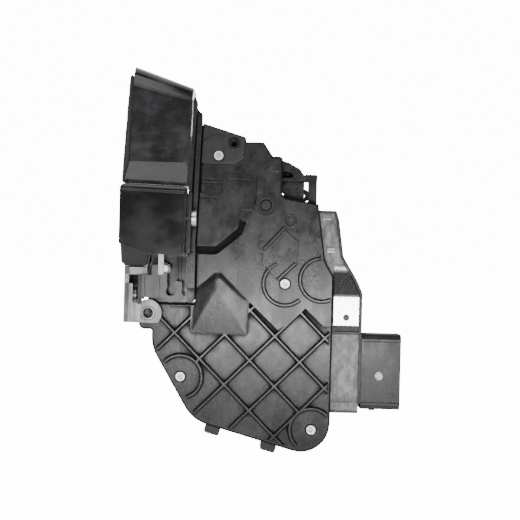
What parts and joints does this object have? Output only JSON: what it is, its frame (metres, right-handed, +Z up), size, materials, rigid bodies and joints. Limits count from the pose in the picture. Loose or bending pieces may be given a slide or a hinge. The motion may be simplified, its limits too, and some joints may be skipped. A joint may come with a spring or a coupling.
{
  "type": "door latch actuator",
  "caption": "Vehicle door latch with lock actuator: ribbed plastic housing, claw and pawl behind a steel latch plate, weather hood, release levers and a side connector.",
  "frame": {"origin": "mouth of the M6 thread in the latch plate's side ear", "axes": "+X towards the connector, +Y away from the ribbed cover, +Z up as mounted in the door"},
  "size_m": [0.1419, 0.0638, 0.1919],
  "materials": {
    "cover_plastic": "fine moulded grain",
    "housing_plastic": "fine moulded grain",
    "gloss_black": "polished mould, scuffed",
    "connector_plastic": "smooth",
    "plate_black": "black coating",
    "latch_steel": "zinc plated, worn",
    "lever_steel": "grey phosphate",
    "bright_steel": "bright zinc",
    "foam": "open cell foam",
    "rubber": "smooth",
    "gear_plastic": "natural acetal",
    "brass": "turned",
    "tin": "tinned contacts"
  },
  "bodies": {
    "housing": {"front_cover": "cover_plastic", "rear_housing": "housing_plastic", "connector_shell": "connector_plastic", "connector_pins": "tin", "cable_bracket": "housing_plastic", "upper_plate": "plate_black", "ring_stud": "plate_black", "cover_screws": "bright_steel", "weather_hood": "gloss_black", "foam_seal": "foam", "latch_box": "gloss_black", "spine_bracket": "housing_plastic", "spine_rivet": "bright_steel", "face_plate": "latch_steel", "back_plate": "latch_steel", "claw_pin": "bright_steel", "pawl_pin": "bright_steel", "claw_spring": "bright_steel", "pawl_spring": "bright_steel", "bump_stop": "rubber", "release_pin": "bright_steel", "release_spring": "bright_steel", "outside_pin": "bright_steel", "lock_motor": "latch_steel", "wheel_axle": "bright_steel", "microswitches": "connector_plastic", "contact_frame": "connector_plastic", "housing_seal": "rubber", "lever_guide": "gear_plastic", "wire_tray": "housing_plastic", "channel_plate": "bright_steel"},
    "claw": {"claw": "latch_steel", "claw_coat": "housing_plastic"},
    "pawl": {"pawl": "latch_steel"},
    "release_lever": {"release_lever": "lever_steel"},
    "outside_lever": {"outside_lever": "lever_steel"},
    "release_link": {"release_link": "bright_steel"},
    "worm": {"worm": "brass"},
    "worm_wheel": {"worm_wheel": "gear_plastic"},
    "lock_lever": {"lock_lever": "gear_plastic"},
    "lock_hub": {"lock_hub": "housing_plastic", "key_lever": "lever_steel"}
  },
  "joints": [
    {"name": "claw_pivot", "type": "hinge", "parent": "housing", "child": "claw", "pos_m": [-0.006, 0.03, 0.049], "axis": [-1, 0, 0], "range_deg": [0, 55], "stiffness_Nm_per_rad": 0.05, "springref_deg": -17.19},
    {"name": "pawl_pivot", "type": "hinge", "parent": "housing", "child": "pawl", "pos_m": [-0.006, 0.024, 0.012], "axis": [-1, 0, 0], "range_deg": [0, 20]},
    {"name": "release_pivot", "type": "hinge", "parent": "housing", "child": "release_lever", "pos_m": [0.0082, -0.003, 0.0222], "axis": [0, -1, 0], "range_deg": [0, 16], "stiffness_Nm_per_rad": 0.05, "springref_deg": -17.19},
    {"name": "outside_pivot", "type": "hinge", "parent": "housing", "child": "outside_lever", "pos_m": [0.004, 0.009, 0.0724], "axis": [0, 1, 0], "range_deg": [0, 20], "stiffness_Nm_per_rad": 0.05, "springref_deg": -17.19},
    {"name": "link_slide", "type": "slide", "parent": "housing", "child": "release_link", "axis": [0, 0, -1], "range_m": [0, 0.0031]},
    {"name": "wheel_pivot", "type": "hinge", "parent": "housing", "child": "worm_wheel", "pos_m": [0.0655, 0.026, -0.0197], "axis": [0, -1, 0], "range_deg": [0, 90]},
    {"name": "worm_spin", "type": "hinge", "parent": "housing", "child": "worm", "pos_m": [0.0655, 0.026, -0.038], "axis": [1, 0, 0], "range_deg": [0, 2710]},
    {"name": "lock_pivot", "type": "hinge", "parent": "housing", "child": "lock_lever", "pos_m": [0.044, 0.021, 0.014], "axis": [0, 1, 0], "range_deg": [0, 19.5]},
    {"name": "hub_pivot", "type": "hinge", "parent": "housing", "child": "lock_hub", "pos_m": [0.0571, 0.026, 0.055], "axis": [0, -1, 0], "range_deg": [0, 41]}
  ],
  "couplings": [
    {"joint": "link_slide", "follows": "outside_pivot", "m_per_rad": 0.0086},
    {"joint": "worm_spin", "follows": "wheel_pivot", "ratio": 30},
    {"joint": "lock_pivot", "follows": "wheel_pivot", "ratio": 0.20801},
    {"joint": "hub_pivot", "follows": "wheel_pivot", "ratio": 0.44336}
  ]
}
